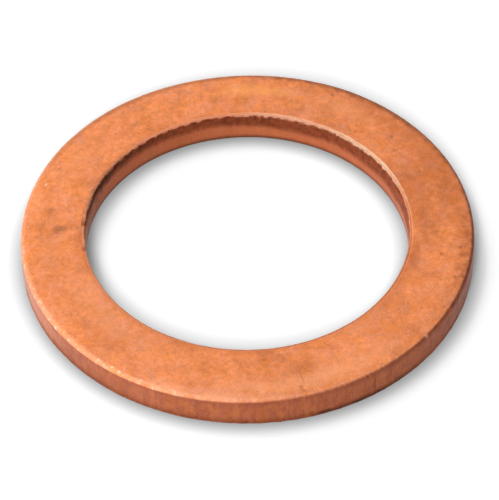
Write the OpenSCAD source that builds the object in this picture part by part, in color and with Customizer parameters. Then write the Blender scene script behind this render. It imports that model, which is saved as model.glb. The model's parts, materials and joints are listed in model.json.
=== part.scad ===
// Sealing washer: a flat copper ring, pierced and blanked from sheet.
// The ring lies flat, with its lower face on z = 0 and its bore along Z. Sizes are in millimetres.
// Shearing leaves three bands on each wall: a rolled edge where the tool enters, a smooth
// band that it rubs, and a broken band where the metal tears. The punch pierces the bore from
// below and the die cuts the outside from above, so the two walls run opposite ways up.

/* [Ring] */
// Outside diameter, over the smooth band of the outer wall
outer_d = 19.9; // [17:0.1:30]
// Bore diameter, over the smooth band of the bore wall
bore_d = 14.2; // [6:0.1:17]
// Thickness of the copper sheet
thickness = 1.5; // [1.2:0.1:3]

/* [Outer wall] */
// Radius of the rolled edge round the upper face
outer_roll_r = 0.28; // [0.1:0.02:0.5]
// Height of the broken band at the foot of the wall
outer_break_h = 0.45; // [0.1:0.05:0.8]
// Distance that the broken band leans in at the lower face
outer_break_in = 0.04; // [0.02:0.01:0.3]

/* [Bore wall] */
// Radius of the rolled edge round the lower face
bore_roll_r = 0.3; // [0.1:0.02:0.5]
// Height of the smooth cylindrical band above the rolled edge
bore_smooth_h = 0.55; // [0.2:0.05:0.75]
// Distance that the broken band opens out at its top
bore_break_out = 0.02; // [0.01:0.01:0.3]
// Width of the torn lip, broken at 45 degrees, round the bore at the upper face
bore_lip_w = 0.04; // [0.02:0.01:0.3]

/* [Hidden] */
// Sides of a drawn circle
$fn = 180;
// Distance that a cutting shape reaches past the face it cuts
overlap = 0.2;
outer_r = outer_d / 2;
bore_r = bore_d / 2;
bore_break_z = bore_roll_r + bore_smooth_h;
lip_r = bore_r + bore_break_out;

// Waste outside a quarter-round of radius r, for a section corner at the origin that opens
// towards +X and +Y
module corner_waste(r) {
    difference() {
        translate([-overlap, -overlap])
            square(r + overlap);
        translate([r, r])
            circle(r);
    }
}

// Section of the sheared strip, with both rolled edges still square
module square_section() {
    polygon([
        [bore_r, 0],
        [outer_r - outer_break_in, 0],
        [outer_r, outer_break_h],
        [outer_r, thickness],
        [lip_r + bore_lip_w, thickness],
        [lip_r, thickness - bore_lip_w],
        [bore_r, bore_break_z]
    ]);
}

// Section of the finished ring, in the plane of radius and height
module ring_section() {
    difference() {
        square_section();
        translate([bore_r, 0])
            corner_waste(bore_roll_r);
        translate([outer_r, thickness])
            rotate(180)
                corner_waste(outer_roll_r);
    }
}

// The whole washer, one solid
module washer() {
    color("#d9804f")
        rotate_extrude()
            ring_section();
}

washer();
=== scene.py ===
import json
import math

import bpy
from mathutils import Matrix, Vector


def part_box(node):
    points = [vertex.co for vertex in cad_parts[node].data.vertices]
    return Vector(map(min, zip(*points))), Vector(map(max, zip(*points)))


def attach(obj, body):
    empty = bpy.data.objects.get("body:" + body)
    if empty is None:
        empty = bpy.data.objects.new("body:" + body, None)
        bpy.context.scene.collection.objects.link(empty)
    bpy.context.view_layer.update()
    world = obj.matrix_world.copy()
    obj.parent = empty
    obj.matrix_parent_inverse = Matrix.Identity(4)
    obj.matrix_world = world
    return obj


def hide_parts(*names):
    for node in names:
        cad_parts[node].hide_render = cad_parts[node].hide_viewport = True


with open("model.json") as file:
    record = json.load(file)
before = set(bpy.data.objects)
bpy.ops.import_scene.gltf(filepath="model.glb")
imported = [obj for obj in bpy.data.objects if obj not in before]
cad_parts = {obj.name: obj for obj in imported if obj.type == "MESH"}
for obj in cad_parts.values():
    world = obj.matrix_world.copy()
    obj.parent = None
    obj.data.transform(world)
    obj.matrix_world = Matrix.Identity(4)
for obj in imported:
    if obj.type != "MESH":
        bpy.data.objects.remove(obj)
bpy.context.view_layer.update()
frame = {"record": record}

scene = bpy.context.scene

# The ring is the whole washer: soft copper, pierced and blanked from flat sheet, then annealed
# and tumbled. Shearing leaves each wall with a rolled edge, a smooth band that the tool rubbed
# and a torn band, and the two walls run opposite ways up.

MM = 0.001
mounts = {mount["name"]: mount for mount in frame["record"]["mounts"]}
ring_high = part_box("washer")[1]
outer_radius = ring_high.x
thickness = ring_high.z
bore_radius = mounts["bore"]["dims"]["r_mm"] * MM
torn_radius = bore_radius + 0.01 * MM
lip_width = 0.02 * MM
lip_drop = 0.02 * MM
bore_offset = 0.07 * MM
bore_offset_turn = math.radians(105)

# Sizes of the section, and of what is torn and scored into it. Real scores are about 0.03 mm
# apart, too fine to show, so they are drawn 0.2 mm apart.
ring_sizes = {
    "Bore Radius": bore_radius,
    "Torn Radius": torn_radius,
    "Lip Radius": torn_radius + lip_width,
    "Rim Start Radius": outer_radius - 0.3 * MM,
    "Rim Radius": outer_radius - 0.1 * MM,
    "Foot Radius": outer_radius - 0.01 * MM,
    "Outer Radius": outer_radius,
    "Thickness": thickness,
    "Lip Height": thickness - lip_drop - lip_width,
    "Lip Top Height": thickness - lip_drop,
    "Lip Start Height": thickness - 0.3 * MM,
    "Bore Torn Height": 0.85 * MM,
    "Bore Ragged Height": 1.0 * MM,
    "Foot Torn Height": 0.45 * MM,
    "Foot Ragged Height": 0.2 * MM,
    "Outer Roll": 0.16 * MM,
    "Bore Roll": 0.15 * MM,
    "Draw Start Radius": outer_radius - 0.75 * MM,
    "Front Draw Depth": 0.05 * MM,
    "Back Draw Depth": 0.08 * MM,
    "Lip Draw Radius": torn_radius + 0.18 * MM,
    "Bore Offset": bore_offset,
    "Bore Offset Turn": bore_offset_turn,
    "Torn Rounding": 0.02 * MM,
    "Band Rounding": 0.25 * MM,
    "Face Step": 0.14 * MM,
    "Hidden Step": 0.5 * MM,
    "Wall Step": 0.08 * MM,
    "Bore Tear Grain": 0.2 * MM,
    "Bore Tear Depth": 0.03 * MM,
    "Lip Tear Grain": 0.26 * MM,
    "Lip Tear Depth": 0.16 * MM,
    "Foot Tear Grain": 0.3 * MM,
    "Foot Tear Depth": 0.02 * MM,
    "Score Grain": 0.22 * MM,
    "Score Depth": 0.006 * MM,
    "Wave Grain": 2.2 * MM,
    "Wave Depth": 0.012 * MM,
}
# The section has 92 points, and 1080 segments keep the ring under 200,000 triangles
ring_counts = {"Segments": 1080, "Roll Steps": 6, "Edge Steps": 3, "Seed": 11}
# Levels of finer noise in the tears
tear_detail = 3.0

# Nicks and dents: degrees round the ring, radius and height of the middle, half sizes
# outwards, round the ring and upwards, and depth, all in millimetres
ring_nicks = [
    (-57.5, 9.95, 0.75, 0.2, 0.07, 0.7, 0.045),
    (-41.2, 9.86, 1.45, 0.16, 0.16, 0.16, 0.035),
    (-27.5, 9.90, 1.42, 0.2, 0.12, 0.12, 0.05),
    (-75.8, 9.50, 1.50, 0.1, 0.16, 0.2, 0.05),
    (176.4, 7.18, 1.50, 0.12, 0.3, 0.2, 0.09),
    (-171.0, 7.18, 1.50, 0.12, 0.2, 0.2, 0.09),
    (65.2, 9.40, 1.50, 0.06, 0.1, 0.2, 0.04),
]


def add_node(tree, kind, settings, inputs):
    """Adds one node to a tree, with its settings, and a value or a link for each input."""
    node = tree.nodes.new(kind)
    for name, value in settings.items():
        setattr(node, name, value)
    for name, value in inputs.items():
        if isinstance(value, bpy.types.NodeSocket):
            tree.links.new(value, node.inputs[name])
        else:
            node.inputs[name].default_value = value
    return node


def swept_section(tree, size):
    """The section's eight corners, rounded, divided and swept round the bore's axis."""
    # Each corner: its radius, its height, where none is the lower face, its rounding, the steps
    # round that, and the spacing of the points along the side that follows
    corners = [
        ("Bore Radius", None, "Bore Roll", "Roll Steps", "Hidden Step"),
        ("Foot Radius", None, "Torn Rounding", "Edge Steps", "Wall Step"),
        ("Outer Radius", "Foot Torn Height", "Band Rounding", "Edge Steps", "Wall Step"),
        ("Outer Radius", "Thickness", "Outer Roll", "Roll Steps", "Face Step"),
        ("Lip Draw Radius", "Thickness", "Band Rounding", "Edge Steps", "Wall Step"),
        ("Lip Radius", "Lip Top Height", "Torn Rounding", "Edge Steps", "Wall Step"),
        ("Torn Radius", "Lip Height", "Torn Rounding", "Edge Steps", "Wall Step"),
        ("Bore Radius", "Bore Torn Height", "Band Rounding", "Edge Steps", "Wall Step"),
    ]
    index = add_node(tree, "GeometryNodeInputIndex", {}, {}).outputs[0]
    by_corner = []
    for column in zip(*corners):
        pick = add_node(tree, "GeometryNodeIndexSwitch", {"data_type": "FLOAT"}, {"Index": index})
        while len(pick.index_switch_items) < len(corners):
            pick.index_switch_items.new()
        for place, name in enumerate(column):
            if name:
                tree.links.new(size[name], pick.inputs[str(place)])
        by_corner.append(pick.outputs[0])
    radius, height, rounding, arc_steps, step = by_corner

    from_bore = add_node(tree, "ShaderNodeMath", {"operation": "SUBTRACT"},
                         {0: radius, 1: size["Bore Radius"]}).outputs[0]
    place = add_node(tree, "ShaderNodeCombineXYZ", {}, {"X": from_bore, "Y": height}).outputs[0]
    points = add_node(tree, "GeometryNodePoints", {}, {"Count": len(corners), "Position": place})
    outline = add_node(tree, "GeometryNodePointsToCurves", {},
                       {"Points": points.outputs[0], "Weight": index})
    closed = add_node(tree, "GeometryNodeSetSplineCyclic", {},
                      {"Geometry": outline.outputs[0], "Cyclic": True})
    stepped = add_node(tree, "GeometryNodeCaptureAttribute", {}, {"Geometry": closed.outputs[0]})
    stepped.capture_items.new("FLOAT", "Step")
    tree.links.new(step, stepped.inputs["Step"])
    rounded = add_node(tree, "GeometryNodeFilletCurve", {"mode": "POLY"},
                       {"Curve": stepped.outputs["Geometry"], "Count": arc_steps,
                        "Radius": rounding})

    here = add_node(tree, "GeometryNodeInputPosition", {}, {}).outputs[0]
    following = add_node(tree, "GeometryNodeOffsetPointInCurve", {}, {"Offset": 1})
    there = add_node(tree, "GeometryNodeFieldAtIndex", {"data_type": "FLOAT_VECTOR"},
                     {"Value": here, "Index": following.outputs["Point Index"]}).outputs[0]
    gap = add_node(tree, "ShaderNodeVectorMath", {"operation": "DISTANCE"},
                   {0: here, 1: there}).outputs["Value"]
    cuts = add_node(tree, "ShaderNodeMath", {"operation": "DIVIDE"},
                    {0: gap, 1: stepped.outputs["Step"]}).outputs[0]
    whole_cuts = add_node(tree, "ShaderNodeMath", {"operation": "FLOOR"}, {0: cuts}).outputs[0]
    section = add_node(tree, "GeometryNodeSubdivideCurve", {},
                       {"Curve": rounded.outputs[0], "Cuts": whole_cuts})
    path = add_node(tree, "GeometryNodeCurvePrimitiveCircle", {},
                    {"Resolution": size["Segments"], "Radius": size["Bore Radius"]})
    sweep = add_node(tree, "GeometryNodeCurveToMesh", {},
                     {"Curve": path.outputs["Curve"], "Profile Curve": section.outputs[0]})
    # The sweep hangs the section below the path, so the ring is turned over
    upright = add_node(tree, "GeometryNodeTransform", {},
                       {"Geometry": sweep.outputs[0], "Rotation": (math.pi, 0, 0)})
    return upright.outputs[0]


def surface_depth(tree, size):
    """How deep each point lies below the clean shape: tears, scores, waves and nicks."""
    place = add_node(tree, "GeometryNodeInputPosition", {}, {}).outputs[0]
    across_x, across_y, height = add_node(tree, "ShaderNodeSeparateXYZ", {}, {0: place}).outputs
    level = add_node(tree, "ShaderNodeCombineXYZ", {}, {"X": across_x, "Y": across_y}).outputs[0]
    radius = add_node(tree, "ShaderNodeVectorMath", {"operation": "LENGTH"},
                      {0: level}).outputs["Value"]
    zones = {
        "bore": (radius, "Lip Radius", "Torn Radius"),
        "bore torn": (height, "Bore Torn Height", "Bore Ragged Height"),
        "lip": (height, "Lip Start Height", "Lip Height"),
        "rim": (radius, "Rim Start Radius", "Rim Radius"),
        "foot": (height, "Foot Torn Height", "Foot Ragged Height"),
        "drawn": (radius, "Draw Start Radius", "Outer Radius"),
        "face": (height, "Lip Start Height", "Thickness"),
    }
    masks = {}
    for name, (measure, outside, inside) in zones.items():
        zone = add_node(tree, "ShaderNodeMapRange", {"interpolation_type": "SMOOTHSTEP"},
                        {"Value": measure, "From Min": size[outside], "From Max": size[inside]})
        masks[name] = zone.outputs[0]

    # The die draws the face down inside the rolled edge, on two sides. For each side: the depth,
    # the side in degrees, and how far towards it the draw is absent and full, in outer radii
    draws = [
        ("Front Draw Depth", -100, -0.5, 0.2),
        ("Back Draw Depth", 130, 0.3, 1.1),
    ]
    total = 0.0
    for depth, degrees, absent, full in draws:
        turned = add_node(tree, "ShaderNodeVectorRotate", {"rotation_type": "Z_AXIS"},
                          {"Vector": place, "Angle": math.radians(-degrees)}).outputs[0]
        ahead = add_node(tree, "ShaderNodeSeparateXYZ", {}, {0: turned}).outputs[0]
        share = add_node(tree, "ShaderNodeMath", {"operation": "DIVIDE"},
                         {0: ahead, 1: size["Outer Radius"]}).outputs[0]
        deep = add_node(tree, "ShaderNodeMapRange", {"interpolation_type": "SMOOTHSTEP"},
                        {"Value": share, "From Min": absent, "From Max": full,
                         "To Max": size[depth]}).outputs[0]
        for name in ("drawn", "face"):
            deep = add_node(tree, "ShaderNodeMath", {"operation": "MULTIPLY"},
                            {0: deep, 1: masks[name]}).outputs[0]
        total = add_node(tree, "ShaderNodeMath", {}, {0: total, 1: deep}).outputs[0]

    # Each relief: its grain and depth, the grain's width over its height, the noise levels where
    # the relief is absent and full, and its zones
    reliefs = [
        ("Bore Tear Grain", "Bore Tear Depth", 0.6, 0.3, 0.7, ("bore", "bore torn")),
        ("Lip Tear Grain", "Lip Tear Depth", 0.15, 0.42, 0.64, ("bore", "lip")),
        ("Foot Tear Grain", "Foot Tear Depth", 0.5, 0.3, 0.7, ("rim", "foot")),
        ("Score Grain", "Score Depth", 0.03, 0.3, 0.7, ("rim",)),
        ("Score Grain", "Score Depth", 0.03, 0.3, 0.7, ("bore",)),
        ("Wave Grain", "Wave Depth", 1.0, 0.3, 0.7, ()),
    ]
    for row, (grain, depth, aspect, absent, full, where) in enumerate(reliefs):
        stretched = add_node(tree, "ShaderNodeVectorMath", {"operation": "MULTIPLY"},
                             {0: place, 1: (1, 1, aspect)}).outputs[0]
        scale = add_node(tree, "ShaderNodeMath", {"operation": "DIVIDE"},
                         {0: 1.0, 1: size[grain]}).outputs[0]
        seed = add_node(tree, "ShaderNodeMath", {}, {0: size["Seed"], 1: float(row)}).outputs[0]
        noise = add_node(tree, "ShaderNodeTexNoise", {"noise_dimensions": "4D"},
                         {"Vector": stretched, "W": seed, "Scale": scale, "Detail": tear_detail})
        deep = add_node(tree, "ShaderNodeMapRange", {},
                        {"Value": noise.outputs[0], "From Min": absent, "From Max": full,
                         "To Max": size[depth]}).outputs[0]
        for name in where:
            deep = add_node(tree, "ShaderNodeMath", {"operation": "MULTIPLY"},
                            {0: deep, 1: masks[name]}).outputs[0]
        total = add_node(tree, "ShaderNodeMath", {}, {0: total, 1: deep}).outputs[0]

    for degrees, nick_radius, nick_height, half_out, half_round, half_up, nick_depth in ring_nicks:
        turned = add_node(tree, "ShaderNodeVectorRotate", {"rotation_type": "Z_AXIS"},
                          {"Vector": place, "Angle": math.radians(-degrees)}).outputs[0]
        from_nick = add_node(tree, "ShaderNodeVectorMath", {"operation": "SUBTRACT"},
                             {0: turned, 1: (nick_radius * MM, 0, nick_height * MM)}).outputs[0]
        in_halves = add_node(tree, "ShaderNodeVectorMath", {"operation": "DIVIDE"},
                             {0: from_nick,
                              1: (half_out * MM, half_round * MM, half_up * MM)}).outputs[0]
        reach = add_node(tree, "ShaderNodeVectorMath", {"operation": "LENGTH"},
                         {0: in_halves}).outputs["Value"]
        deep = add_node(tree, "ShaderNodeMapRange", {"interpolation_type": "SMOOTHSTEP"},
                        {"Value": reach, "From Min": 1.0, "From Max": 0.0,
                         "To Max": nick_depth * MM}).outputs[0]
        total = add_node(tree, "ShaderNodeMath", {}, {0: total, 1: deep}).outputs[0]
    return total


def off_centre(tree, size):
    """How far each point moves across, from none at the rim to the bore's whole offset."""
    place = add_node(tree, "GeometryNodeInputPosition", {}, {}).outputs[0]
    level = add_node(tree, "ShaderNodeVectorMath", {"operation": "MULTIPLY"},
                     {0: place, 1: (1, 1, 0)}).outputs[0]
    radius = add_node(tree, "ShaderNodeVectorMath", {"operation": "LENGTH"},
                      {0: level}).outputs["Value"]
    share = add_node(tree, "ShaderNodeMapRange", {"interpolation_type": "SMOOTHSTEP"},
                     {"Value": radius, "From Min": size["Rim Start Radius"],
                      "From Max": size["Lip Radius"]}).outputs[0]
    along_x = add_node(tree, "ShaderNodeCombineXYZ", {}, {"X": size["Bore Offset"]}).outputs[0]
    across = add_node(tree, "ShaderNodeVectorRotate", {"rotation_type": "Z_AXIS"},
                      {"Vector": along_x, "Angle": size["Bore Offset Turn"]}).outputs[0]
    return add_node(tree, "ShaderNodeVectorMath", {"operation": "SCALE"},
                    {0: across, "Scale": share}).outputs[0]


def sheared_ring():
    """The tree that sweeps the section and then tears, scores and dents its surface."""
    tree = bpy.data.node_groups.new("sheared_ring", "GeometryNodeTree")
    tree.interface.new_socket("Ring", in_out="OUTPUT", socket_type="NodeSocketGeometry")
    for name in ring_sizes:
        tree.interface.new_socket(name, in_out="INPUT", socket_type="NodeSocketFloat")
    for name in ring_counts:
        tree.interface.new_socket(name, in_out="INPUT", socket_type="NodeSocketInt")
    tree.interface.new_socket("Material", in_out="INPUT", socket_type="NodeSocketMaterial")
    size = add_node(tree, "NodeGroupInput", {}, {}).outputs
    normal = add_node(tree, "GeometryNodeInputNormal", {}, {}).outputs[0]
    inward = add_node(tree, "ShaderNodeMath", {"operation": "MULTIPLY"},
                      {0: surface_depth(tree, size), 1: -1.0}).outputs[0]
    carved = add_node(tree, "ShaderNodeVectorMath", {"operation": "SCALE"},
                      {0: normal, "Scale": inward}).outputs[0]
    shift = add_node(tree, "ShaderNodeVectorMath", {},
                     {0: carved, 1: off_centre(tree, size)}).outputs[0]
    worked = add_node(tree, "GeometryNodeSetPosition", {},
                      {"Geometry": swept_section(tree, size), "Offset": shift})
    smooth = add_node(tree, "GeometryNodeSetShadeSmooth", {}, {"Geometry": worked.outputs[0]})
    whole = add_node(tree, "GeometryNodeRealizeInstances", {}, {"Geometry": smooth.outputs[0]})
    dressed = add_node(tree, "GeometryNodeSetMaterial", {},
                       {"Geometry": whole.outputs[0], "Material": size["Material"]})
    add_node(tree, "NodeGroupOutput", {}, {"Ring": dressed.outputs[0]})
    return tree


def linear(code):
    """Turns an sRGB hex colour into the linear colour that a shader takes."""
    parts = [int(code[place:place + 2], 16) / 255 for place in (1, 3, 5)]
    return [part / 12.92 if part <= 0.04045 else ((part + 0.055) / 1.055) ** 2.4
            for part in parts] + [1.0]


# Zones of the copper's surface: what is measured, and where the zone is absent and full, in mm.
# The pale rolled edge reaches lower on the left, where the light falls, and the darker wall tone
# higher on the right: a painted highlight and painted shade. The torn band of the bore reaches
# lower on the right. Both move by the leans below for each mm across.
outer_mm = outer_radius / MM
lip_mm = (torn_radius + lip_width) / MM
thickness_mm = thickness / MM
# Painted highlight and shade: how far the rolled edge's zone leans with the light
roll_light_lean = -0.014
tear_lean = 0.028
# The edge of that torn band wanders up and down as well: grain and reach in mm
tear_wanders = [(1.6, 0.2), (0.3, 0.1)]
copper_zones = {
    "bore": ("bore radius", lip_mm + 0.11, lip_mm + 0.05),
    "bore torn": ("wandering height", 0.62, 1.02),
    "shaded bore foot": ("height", 0.36, 0.08),
    "lip": ("bore radius", lip_mm + 0.17, lip_mm),
    "top": ("height", thickness_mm - 0.16, thickness_mm - 0.1),
    "near lip": ("bore radius", lip_mm + 0.45, lip_mm + 0.1),
    "rim": ("radius", outer_mm - 0.2, outer_mm - 0.08),
    "roll": ("radius", outer_mm - 0.24, outer_mm - 0.12),
    "lit left side": ("across", -1.0, -4.5),
    "lit back side": ("towards back", -2.0, 0.5),
    # On a height that leans with the light: the wall tone is painted shade on the right, and the
    # rolled edge a painted highlight on the left
    "below roll": ("light-leaning height", thickness_mm - 0.10, thickness_mm - 0.22),
    "wall top": ("height", 1.0, 1.3),
    "foot": ("height", 0.48, 0.05),
}

# Colours of annealed copper, with painted highlights on the rolled edge and the lip and painted
# shade at the feet: colour, strength, grain in mm, the grain's width over its height, noise levels
# where the colour is absent and full, and zones. Copper's own grain and the tool's scores are
# finer than 0.05 mm and would not show, so the finest are drawn 0.1 to 0.2 mm wide.
copper_base = "#FEA16B"
copper_tones_and_painted_light = [
    ("#A85A34", 0.60, 3.00, 1.0, 0.40, 0.85, ()),
    ("#A85A34", 0.84, 0.70, 1.0, 0.42, 0.85, ()),
    ("#A85A34", 0.80, 0.20, 1.0, 0.42, 0.85, ()),
    ("#F4A890", 0.58, 0.80, 1.0, 0.45, 0.80, ()),
    ("#F08A3C", 0.70, 0.70, 1.0, 0.45, 0.80, ()),
    ("#F08A3C", 0.65, 0.16, 1.0, 0.45, 0.75, ()),
    ("#8A5030", 0.45, 0.09, 1.0, 0.50, 0.80, ()),
    ("#B8603C", 0.15, 0.90, 1.0, 0.10, 0.50, ("near lip",)),
    # Painted highlight: a paler, pinker rolled edge all round
    ("#FFB89C", 0.30, 0.50, 1.0, 0.35, 0.65, ("roll",)),
    # Painted glints on the rolled edge on the lit left
    ("#FFEAD8", 0.75, 0.20, 1.0, 0.54, 0.66, ("roll", "lit left side")),
    ("#A65A36", 0.95, 0.60, 0.2, 0.00, 0.10, ("rim", "below roll")),
    ("#8A4040", 0.60, 0.30, 0.60, 0.40, 0.70, ("rim", "below roll")),
    ("#C8743C", 0.60, 0.35, 0.60, 0.45, 0.72, ("rim", "below roll")),
    ("#D98A68", 0.30, 0.30, 0.08, 0.45, 0.75, ("rim", "below roll")),
    ("#80403A", 0.42, 0.40, 0.50, 0.20, 0.60, ("rim", "below roll", "wall top")),
    # Darker torn band at the outer foot: partly its own colour, partly painted shade where it
    # meets the card
    ("#38201A", 0.22, 0.30, 0.50, 0.10, 0.60, ("rim", "foot")),
    ("#C06A44", 0.95, 0.60, 0.2, 0.00, 0.10, ("bore",)),
    ("#A05436", 0.40, 0.25, 0.30, 0.45, 0.75, ("bore",)),
    ("#A85837", 0.95, 0.20, 0.50, 0.00, 0.10, ("bore", "bore torn")),
    ("#5C2E1C", 0.65, 0.25, 0.80, 0.38, 0.66, ("bore", "bore torn")),
    # Painted shade at the foot of the bore, where it meets the card
    ("#3A1C12", 0.70, 0.20, 0.50, 0.00, 0.10, ("bore", "shaded bore foot")),
    ("#F09A6C", 0.90, 0.25, 0.10, 0.00, 0.10, ("lip", "top")),
    # Painted highlight on the lip of the bore behind
    ("#FFA880", 0.80, 0.25, 0.10, 0.25, 0.45, ("lip", "top", "lit back side")),
]
# Levels of finer noise in the grain, and the strength of each against the one before
grain_detail = 5.0
grain_roughness = 0.7
# Stains and scratches, and patches of painted light and shade: degrees round the ring, radius and
# height of the middle, half sizes outwards, round the ring and upwards in mm, colour and strength
stains_and_painted_light = [
    # Painted shade: the face darker on the right and behind
    (32, 9.6, 1.5, 1.6, 9.0, 1.0, "#A8552C", 0.36),
    (12, 7.9, 1.5, 0.8, 5.0, 1.0, "#A8552C", 0.35),
    (88, 8.8, 1.5, 0.5, 2.5, 1.0, "#FFAC64", 0.55),
    # Painted highlight on the face near the rolled edge at the front
    (-75, 9.2, 1.5, 0.6, 5.0, 1.0, "#FFB084", 0.40),
    # Painted light: the face lighter on the front left
    (-140, 8.0, 1.5, 0.9, 4.0, 1.0, "#FFB084", 0.22),
    # Painted highlight next to the rolled edge on the front left
    (-100, 9.70, 1.5, 0.40, 4.0, 0.25, "#FFB898", 0.30),
    # Painted shade and dark reflection: the outer rim darker on the right and behind
    (62, 9.86, 1.5, 0.32, 8.5, 1.0, "#7A4430", 0.75),
    (14, 9.94, 1.5, 0.24, 5.0, 1.0, "#7A4430", 0.60),
    (122, 9.76, 1.5, 0.30, 8.0, 1.0, "#9A6040", 0.50),
    (-60, 8.80, 1.5, 0.60, 2.2, 1.0, "#FFA870", 0.25),
    (150, 8.80, 1.5, 0.60, 2.2, 1.0, "#FFA870", 0.25),
    (60, 8.80, 1.5, 0.60, 2.2, 1.0, "#FFB078", 0.25),
    # Painted shade on the right and painted light on the left of the face near the lip
    (-30, 7.42, 1.5, 0.35, 1.6, 1.0, "#B06040", 0.25),
    (-150, 7.45, 1.5, 0.40, 1.8, 1.0, "#FFA880", 0.25),
    # Painted shade: the outer wall darker on the right
    (-12, 9.95, 0.75, 1.0, 5.0, 1.0, "#6A2A18", 0.75),
    # Painted light: the outer wall lighter on the left
    (-158, 9.95, 0.75, 1.0, 3.0, 1.0, "#D89070", 0.40),
    (-138, 9.95, 0.25, 1.0, 5.5, 0.60, "#7A3E26", 0.24),
    # Painted shade where the foot meets the card on the front right
    (-57, 9.95, 0.04, 1.0, 4.2, 0.34, "#38201A", 0.60),
    # Painted highlight along the lip of the bore on the right and behind
    (42, 7.22, 1.5, 0.14, 4.8, 0.22, "#FFD8B4", 0.85),
    (74, 7.24, 1.5, 0.16, 3.2, 0.22, "#FFC4A4", 0.75),
    (179, 8.24, 1.5, 0.40, 0.35, 1.0, "#7E4A34", 0.50),
    (172, 8.75, 1.5, 0.25, 0.30, 1.0, "#9A5C40", 0.35),
    (-14, 7.42, 1.5, 0.42, 0.90, 1.0, "#9A4A30", 0.45),
    (-11, 8.58, 1.5, 0.10, 0.12, 1.0, "#8A4A30", 0.50),
    (-7.6, 9.36, 1.5, 0.10, 0.12, 1.0, "#8A4A30", 0.50),
    (24.2, 8.43, 1.5, 0.10, 0.12, 1.0, "#8A4A30", 0.45),
    (-85, 7.68, 1.5, 0.10, 0.12, 1.0, "#8A4A30", 0.40),
    (-75.6, 8.85, 1.5, 0.65, 0.07, 1.0, "#9A5438", 0.25),
    (-76.7, 9.42, 1.5, 0.10, 0.09, 1.0, "#6A3828", 0.38),
    (-75.9, 9.50, 1.5, 0.06, 0.07, 1.0, "#FFD8B4", 0.50),
    (65, 9.30, 1.5, 0.12, 0.12, 1.0, "#8A4A30", 0.38),
    (50.9, 7.77, 1.5, 0.12, 0.12, 1.0, "#8A4A30", 0.45),
    (41, 8.64, 1.5, 0.12, 0.12, 1.0, "#8A4A30", 0.40),
    (-18.4, 9.42, 1.5, 0.10, 0.12, 1.0, "#8A4A30", 0.45),
    (153, 9.40, 1.5, 0.03, 0.22, 1.0, "#A05A48", 0.60),
    (155, 9.20, 1.5, 0.03, 0.22, 1.0, "#A05A48", 0.50),
    (156, 8.80, 1.5, 0.03, 0.18, 1.0, "#A05A48", 0.50),
    (162, 9.38, 1.5, 0.04, 0.12, 1.0, "#FFE2CC", 0.80),
    # Painted shade: the bore wall darker on the left
    (155, 7.12, 1.25, 0.25, 5.00, 0.55, "#2C1A10", 0.75),
    (172, 7.10, 0.6, 0.20, 3.20, 0.8, "#5A3A2E", 0.55),
    (-91, 9.95, 0.1, 1.00, 0.20, 0.16, "#2A1610", 0.35),
    (-70, 9.95, 0.15, 1.00, 0.50, 0.14, "#2A1A14", 0.65),
    (-63, 9.95, 0.1, 1.00, 0.50, 0.14, "#2A1A14", 0.40),
    (-57.5, 9.95, 0.7, 1.00, 0.06, 0.7, "#4A241C", 0.35),
    # Painted glint on a nick in the rolled edge
    (-39.9, 9.88, 1.48, 0.15, 0.13, 0.2, "#F6B890", 0.85),
]
# A mark frays as a noise is added to its reach; the last two are where it is absent and full
mark_grain = 0.35
mark_detail = 4.0
mark_absent = 1.6
mark_full = 0.6
# Satin copper is about 0.4 rough, smoother on the rolled edge and the lip, rougher where torn
copper_satin = 0.42
# Roughness, and relief in mm: the value, then the grain, its width over its height, noise levels
# and zones as above
copper_roughness = [
    (0.48, 0.5, 1.0, 0.40, 0.65, ()),
    (0.30, 0.6, 1.0, 0.00, 0.10, ("roll",)),
    (0.40, 0.2, 0.05, 0.30, 0.60, ("rim", "below roll")),
    (0.36, 0.2, 0.05, 0.30, 0.60, ("bore",)),
    (0.62, 0.2, 0.50, 0.00, 0.10, ("bore", "bore torn")),
    (0.60, 0.2, 0.50, 0.00, 0.10, ("rim", "foot")),
    (0.32, 0.2, 0.50, 0.00, 0.10, ("lip", "top")),
]
copper_relief = [
    (0.007, 0.10, 1.0, 0.30, 0.70, ()),
    (0.006, 0.35, 1.0, 0.30, 0.70, ()),
    (-0.02, 0.22, 1.0, 0.66, 0.76, ()),
    (0.010, 0.16, 0.05, 0.30, 0.70, ("rim", "below roll")),
    (-0.025, 0.16, 1.0, 0.25, 0.60, ("lip",)),
    (-0.030, 0.35, 1.0, 0.45, 0.75, ("roll",)),
    (0.010, 0.10, 0.03, 0.30, 0.70, ("bore",)),
    (0.050, 0.09, 0.60, 0.30, 0.70, ("bore", "bore torn")),
    (0.040, 0.10, 0.60, 0.30, 0.70, ("rim", "foot")),
]
# Each row has a noise of its own, numbered on from these
tone_seed = 10.0
roughness_seed = 40.0
relief_seed = 60.0


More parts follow.
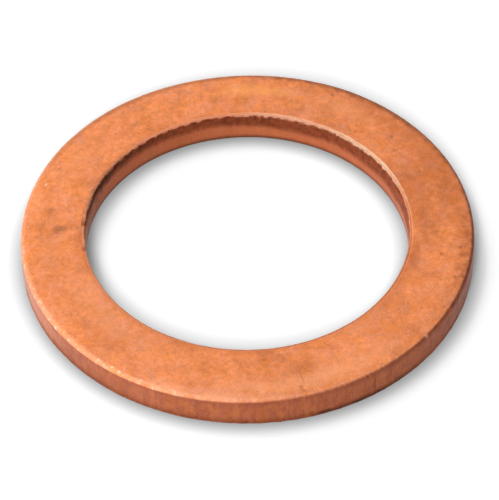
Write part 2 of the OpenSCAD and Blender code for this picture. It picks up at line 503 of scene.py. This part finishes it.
def copper_with_painted_light():
    """Annealed, tumbled copper: satin orange faces, darker rubbed walls, brown torn bands, painted
    highlights and painted shade.
    """
    material = bpy.data.materials.new("copper_with_painted_light")
    material.use_nodes = True
    tree = material.node_tree
    shader = tree.nodes["Principled BSDF"]
    shader.inputs["Metallic"].default_value = 1.0
    # Seen along its surface, copper shines a warm white rather than a pure one
    shader.inputs["Specular Tint"].default_value = linear("#FBF0EB")

    surface = add_node(tree, "ShaderNodeTexCoord", {}, {}).outputs["Object"]
    place = add_node(tree, "ShaderNodeVectorMath", {"operation": "SCALE"},
                     {0: surface, "Scale": 1 / MM}).outputs[0]
    across_x, across_y, height = add_node(tree, "ShaderNodeSeparateXYZ", {}, {0: place}).outputs
    level = add_node(tree, "ShaderNodeCombineXYZ", {}, {"X": across_x, "Y": across_y}).outputs[0]
    radius = add_node(tree, "ShaderNodeVectorMath", {"operation": "LENGTH"},
                      {0: level}).outputs["Value"]
    bore_centre = (bore_offset / MM * math.cos(bore_offset_turn),
                   bore_offset / MM * math.sin(bore_offset_turn), 0)
    from_bore = add_node(tree, "ShaderNodeVectorMath", {"operation": "DISTANCE"},
                         {0: level, 1: bore_centre}).outputs["Value"]
    leaning = add_node(tree, "ShaderNodeMath", {"operation": "MULTIPLY_ADD"},
                       {0: across_x, 1: roll_light_lean, 2: height}).outputs[0]
    wandering = add_node(tree, "ShaderNodeMath", {"operation": "MULTIPLY_ADD"},
                         {0: across_x, 1: tear_lean, 2: height}).outputs[0]
    for grain, reach in tear_wanders:
        noise = add_node(tree, "ShaderNodeTexNoise", {}, {"Vector": level, "Scale": 1 / grain})
        step = add_node(tree, "ShaderNodeMapRange", {},
                        {"Value": noise.outputs[0], "To Min": -reach, "To Max": reach}).outputs[0]
        wandering = add_node(tree, "ShaderNodeMath", {}, {0: wandering, 1: step}).outputs[0]
    measures = {"radius": radius, "bore radius": from_bore, "height": height,
                "light-leaning height": leaning, "wandering height": wandering,
                "across": across_x, "towards back": across_y}
    masks = {}
    for name, (measure, absent, full) in copper_zones.items():
        zone = add_node(tree, "ShaderNodeMapRange", {"interpolation_type": "SMOOTHSTEP"},
                        {"Value": measures[measure], "From Min": absent, "From Max": full})
        masks[name] = zone.outputs[0]

    def strength_of(strength, grain, aspect, absent, full, zones, seed):
        stretched = add_node(tree, "ShaderNodeVectorMath", {"operation": "MULTIPLY"},
                             {0: place, 1: (1, 1, aspect)}).outputs[0]
        noise = add_node(tree, "ShaderNodeTexNoise", {"noise_dimensions": "4D"},
                         {"Vector": stretched, "W": seed, "Scale": 1 / grain,
                          "Detail": grain_detail, "Roughness": grain_roughness})
        amount = add_node(tree, "ShaderNodeMapRange", {},
                          {"Value": noise.outputs[0], "From Min": absent, "From Max": full,
                           "To Max": strength}).outputs[0]
        for name in zones:
            amount = add_node(tree, "ShaderNodeMath", {"operation": "MULTIPLY"},
                              {0: amount, 1: masks[name]}).outputs[0]
        return amount

    colour = linear(copper_base)
    for row, (tone, strength, grain, aspect, absent, full, zones) in enumerate(copper_tones_and_painted_light):
        amount = strength_of(strength, grain, aspect, absent, full, zones, tone_seed + row)
        colour = add_node(tree, "ShaderNodeMix", {"data_type": "RGBA"},
                          {0: amount, 6: colour, 7: linear(tone)}).outputs[2]
    ragged = add_node(tree, "ShaderNodeTexNoise", {},
                      {"Vector": place, "Scale": 1 / mark_grain,
                       "Detail": mark_detail}).outputs[0]
    for degrees, mark_radius, mark_height, *halves, tone, strength in stains_and_painted_light:
        turned = add_node(tree, "ShaderNodeVectorRotate", {"rotation_type": "Z_AXIS"},
                          {"Vector": place, "Angle": math.radians(-degrees)}).outputs[0]
        ahead, aside = add_node(tree, "ShaderNodeSeparateXYZ", {}, {0: turned}).outputs[:2]
        angle = add_node(tree, "ShaderNodeMath", {"operation": "ARCTAN2"}, {0: aside, 1: ahead})
        around = add_node(tree, "ShaderNodeMath", {"operation": "MULTIPLY"},
                          {0: angle.outputs[0], 1: mark_radius}).outputs[0]
        along = add_node(tree, "ShaderNodeCombineXYZ", {},
                         {"X": radius, "Y": around, "Z": height}).outputs[0]
        from_mark = add_node(tree, "ShaderNodeVectorMath", {"operation": "SUBTRACT"},
                              {0: along, 1: (mark_radius, 0, mark_height)}).outputs[0]
        in_halves = add_node(tree, "ShaderNodeVectorMath", {"operation": "DIVIDE"},
                             {0: from_mark, 1: halves}).outputs[0]
        reach = add_node(tree, "ShaderNodeVectorMath", {"operation": "LENGTH"},
                         {0: in_halves}).outputs["Value"]
        frayed = add_node(tree, "ShaderNodeMath", {}, {0: reach, 1: ragged}).outputs[0]
        amount = add_node(tree, "ShaderNodeMapRange", {"interpolation_type": "SMOOTHSTEP"},
                          {"Value": frayed, "From Min": mark_absent, "From Max": mark_full,
                           "To Max": strength}).outputs[0]
        colour = add_node(tree, "ShaderNodeMix", {"data_type": "RGBA"},
                          {0: amount, 6: colour, 7: linear(tone)}).outputs[2]
    tree.links.new(colour, shader.inputs["Base Color"])

    roughness = copper_satin
    for row, (value, grain, aspect, absent, full, zones) in enumerate(copper_roughness):
        amount = strength_of(1.0, grain, aspect, absent, full, zones, roughness_seed + row)
        roughness = add_node(tree, "ShaderNodeMix", {"data_type": "FLOAT"},
                             {0: amount, 2: roughness, 3: value}).outputs[0]
    tree.links.new(roughness, shader.inputs["Roughness"])

    relief = 0.0
    for row, (depth, grain, aspect, absent, full, zones) in enumerate(copper_relief):
        amount = strength_of(1.0, grain, aspect, absent, full, zones, relief_seed + row)
        relief = add_node(tree, "ShaderNodeMath", {"operation": "MULTIPLY_ADD"},
                          {0: amount, 1: depth, 2: relief}).outputs[0]
    bump = add_node(tree, "ShaderNodeBump", {}, {"Height": relief, "Distance": MM})
    tree.links.new(bump.outputs[0], shader.inputs["Normal"])
    return material


# The tree runs once, on an object with an empty mesh, and its result is kept as a plain mesh
ring_source = bpy.data.objects.new("ring_source", bpy.data.meshes.new("ring_source"))
scene.collection.objects.link(ring_source)
sweep = ring_source.modifiers.new("sheared_ring", "NODES")
sweep.node_group = sheared_ring()
ring_inputs = {**ring_sizes, **ring_counts, "Material": copper_with_painted_light()}
for item in sweep.node_group.interface.items_tree:
    if item.in_out == "INPUT":
        sweep[item.identifier] = ring_inputs[item.name]
depsgraph = bpy.context.evaluated_depsgraph_get()
ring_mesh = bpy.data.meshes.new_from_object(ring_source.evaluated_get(depsgraph))
ring_mesh.name = "copper_ring"
bpy.data.objects.remove(ring_source)
ring = bpy.data.objects.new("copper_ring", ring_mesh)
scene.collection.objects.link(ring)
# No orange light from the copper shows on the card in the photograph, so the ring throws none
ring.visible_diffuse = False
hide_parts("washer")
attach(ring, "root")

# The floor is a sheet of matt white card, far wider than the ring, which lies on it.
# The camera sees it a little lighter than it lights the ring, so that it reads as white.

floor_half = 1.0
# The ring stands a hair above the card, so that the two share no plane
floor_drop = 0.01 * MM
floor_white = "#F4F4F4"
floor_gain = 1.08
contact_reach = 0.85 * MM
contact_shade = 0.54
contact_samples = 16
# At the foot of the ring half of the tent is hidden
open_at_foot = 0.5
sheen_share = 0.85
sheen_roughness = 0.5


def white_card():
    """White card: matt to the camera, and satin in the metal, where it shows the tent."""
    material = bpy.data.materials.new("white_card")
    material.use_nodes = True
    tree = material.node_tree
    tree.nodes.clear()
    rays = add_node(tree, "ShaderNodeLightPath", {}, {}).outputs
    mirrored = add_node(tree, "ShaderNodeMath", {"operation": "MAXIMUM"},
                        {0: rays["Is Glossy Ray"], 1: rays["Is Transmission Ray"]}).outputs[0]
    seen = add_node(tree, "ShaderNodeMath", {"operation": "MAXIMUM"},
                    {0: mirrored, 1: rays["Is Camera Ray"]}).outputs[0]
    # The less of the tent is open to the card, within the contact reach, the darker it is
    open_tent = add_node(tree, "ShaderNodeAmbientOcclusion", {"samples": contact_samples},
                        {"Distance": contact_reach}).outputs["AO"]
    shade = add_node(tree, "ShaderNodeMapRange", {},
                     {"Value": open_tent, "From Min": open_at_foot,
                      "To Min": contact_shade * floor_gain, "To Max": floor_gain}).outputs[0]
    shown = add_node(tree, "ShaderNodeVectorMath", {"operation": "SCALE"},
                     {0: (1, 1, 1), "Scale": shade}).outputs[0]
    colour = add_node(tree, "ShaderNodeMix", {"data_type": "RGBA"},
                      {0: seen, 6: linear(floor_white), 7: shown}).outputs[2]
    matt = add_node(tree, "ShaderNodeBsdfDiffuse", {}, {"Color": colour})
    satin = add_node(tree, "ShaderNodeBsdfAnisotropic", {},
                     {"Color": (floor_gain, floor_gain, floor_gain, 1.0),
                      "Roughness": sheen_roughness})
    share = add_node(tree, "ShaderNodeMath", {"operation": "MULTIPLY"},
                     {0: mirrored, 1: sheen_share}).outputs[0]
    card = add_node(tree, "ShaderNodeMixShader", {},
                    {0: share, 1: matt.outputs[0], 2: satin.outputs[0]})
    add_node(tree, "ShaderNodeOutputMaterial", {}, {"Surface": card.outputs[0]})
    return material


floor_mesh = bpy.data.meshes.new("floor")
floor_mesh.from_pydata([(x * floor_half, y * floor_half, -floor_drop)
                        for x, y in ((-1, -1), (1, -1), (1, 1), (-1, 1))], [], [(0, 1, 2, 3)])
floor_mesh.materials.append(white_card())
floor = bpy.data.objects.new("floor", floor_mesh)
scene.collection.objects.link(floor)

# The light is a studio tent, which metal sees brighter towards the left than towards the right.
# A softbox high behind casts the soft shadow forwards and to the right, one high on the left
# the faint shadow to the right, and one in front the faint shadow behind.

softboxes = {
    # name: degrees round from the right, degrees up, distance and width in metres, watts
    "back_softbox": (128, 63, 0.40, 0.28, 0.76),
    "left_softbox": (-164, 56, 0.40, 0.20, 0.26),
    "front_softbox": (-98, 40, 0.40, 0.11, 0.83),
}
for name, (degrees_round, degrees_up, distance, width, power) in softboxes.items():
    lamp = bpy.data.lights.new(name, "AREA")
    lamp.shape = "SQUARE"
    lamp.size = width
    lamp.energy = power
    round_turn, rise = math.radians(degrees_round), math.radians(degrees_up)
    towards = Vector((math.cos(round_turn) * math.cos(rise),
                      math.sin(round_turn) * math.cos(rise), math.sin(rise)))
    softbox = bpy.data.objects.new(name, lamp)
    softbox.location = towards * distance
    softbox.rotation_mode = "QUATERNION"
    softbox.rotation_quaternion = towards.to_track_quat("Z", "Y")
    # The tent's cloth hides the softboxes, so the metal shows the tent alone
    softbox.visible_glossy = False
    scene.collection.objects.link(softbox)

# The tent's strength on the card, in the metal at its darkest and at its brightest, and where
# the brightest is
tent_fill = 0.15
tent_right = 0.22
tent_left = 1.80
tent_round = math.radians(-172)
tent_up = math.radians(12)
world = bpy.data.worlds.new("white_tent")
scene.world = world
world.use_nodes = True
# The tent lights from all sides, so no bright spot in it has to be looked for
world.cycles.sampling_method = "NONE"
tent = world.node_tree
rays = add_node(tent, "ShaderNodeLightPath", {}, {}).outputs
direction = add_node(tent, "ShaderNodeTexCoord", {}, {}).outputs["Generated"]
to_left = add_node(tent, "ShaderNodeVectorMath", {"operation": "DOT_PRODUCT"},
                   {0: direction, 1: (math.cos(tent_round) * math.cos(tent_up),
                                      math.sin(tent_round) * math.cos(tent_up),
                                      math.sin(tent_up))})
in_metal = add_node(tent, "ShaderNodeMapRange", {},
                    {"Value": to_left.outputs["Value"], "From Min": -1.0, "From Max": 1.0,
                     "To Min": tent_right, "To Max": tent_left}).outputs[0]
mirrored = add_node(tent, "ShaderNodeMath", {"operation": "MAXIMUM"},
                    {0: rays["Is Glossy Ray"], 1: rays["Is Transmission Ray"]}).outputs[0]
brightness = add_node(tent, "ShaderNodeMix", {"data_type": "FLOAT"},
                      {0: mirrored, 2: tent_fill, 3: in_metal}).outputs[0]
brightness = add_node(tent, "ShaderNodeMix", {"data_type": "FLOAT"},
                      {0: rays["Is Camera Ray"], 2: brightness, 3: 1.0}).outputs[0]
tent.nodes["Background"].inputs["Color"].default_value = (1, 1, 1, 1)
tent.links.new(brightness, tent.nodes["Background"].inputs["Strength"])

# The camera looks down on the ring at the photograph's angle, from far off with a long lens.
# Its angle, turn, distance and aim were fitted to the ring's edges in the photograph.

camera_up = math.radians(46.46)
camera_roll = -0.0108    # radians
camera_distance = 144.56 * MM
camera_aim = Vector((0.082 * MM, 0.157 * MM, 0))
focal_pixels = 3272.5
frame_pixels = 500
sensor_mm = 36.0
nearest_seen = 0.01
farthest_seen = 5.0
camera_data = bpy.data.cameras.new("camera")
camera_data.sensor_width = sensor_mm
camera_data.lens = focal_pixels * sensor_mm / frame_pixels
camera_data.clip_start = nearest_seen
camera_data.clip_end = farthest_seen
camera = bpy.data.objects.new("camera", camera_data)
turn = Matrix.Rotation(math.pi / 2 - camera_up, 4, "X") @ Matrix.Rotation(camera_roll, 4, "Z")
camera.matrix_world = (Matrix.Translation(camera_aim) @ turn
                       @ Matrix.Translation((0, 0, camera_distance)))
scene.collection.objects.link(camera)
scene.camera = camera

scene.view_settings.view_transform = "Standard"
